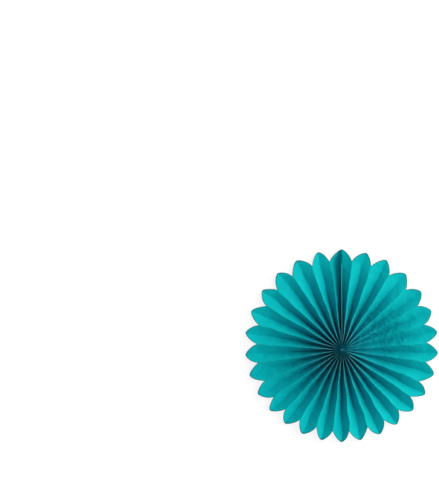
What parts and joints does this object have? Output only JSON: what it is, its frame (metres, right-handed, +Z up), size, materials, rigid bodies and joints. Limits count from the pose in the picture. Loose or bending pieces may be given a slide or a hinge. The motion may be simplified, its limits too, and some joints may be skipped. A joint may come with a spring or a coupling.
{
  "type": "paper fan rosette",
  "caption": "Round pleated paper fan rosette with a scalloped rim and a stiffened seam, lying flat on its back folds, for hanging or decorating a wall or table.",
  "frame": {"origin": "the hub's axis, on the plane that the back folds rest on", "axes": "+Z up out of the rosette's face, along the hub's axis; +Y along the seam; +X to the right of the seam, seen from the face"},
  "size_m": [0.2498, 0.2496, 0.0226],
  "materials": {
    "teal_paper": "matte dyed thin paper",
    "stiff_card": "matte dyed card",
    "clear_tape": "double-sided film tape",
    "cotton_thread": "twisted cotton thread"
  },
  "bodies": {
    "root": {"pleated_sheet": "teal_paper", "end_card_left": "stiff_card", "end_card_right": "stiff_card", "adhesive_strip": "clear_tape", "hub_thread": "cotton_thread"}
  },
  "joints": []
}
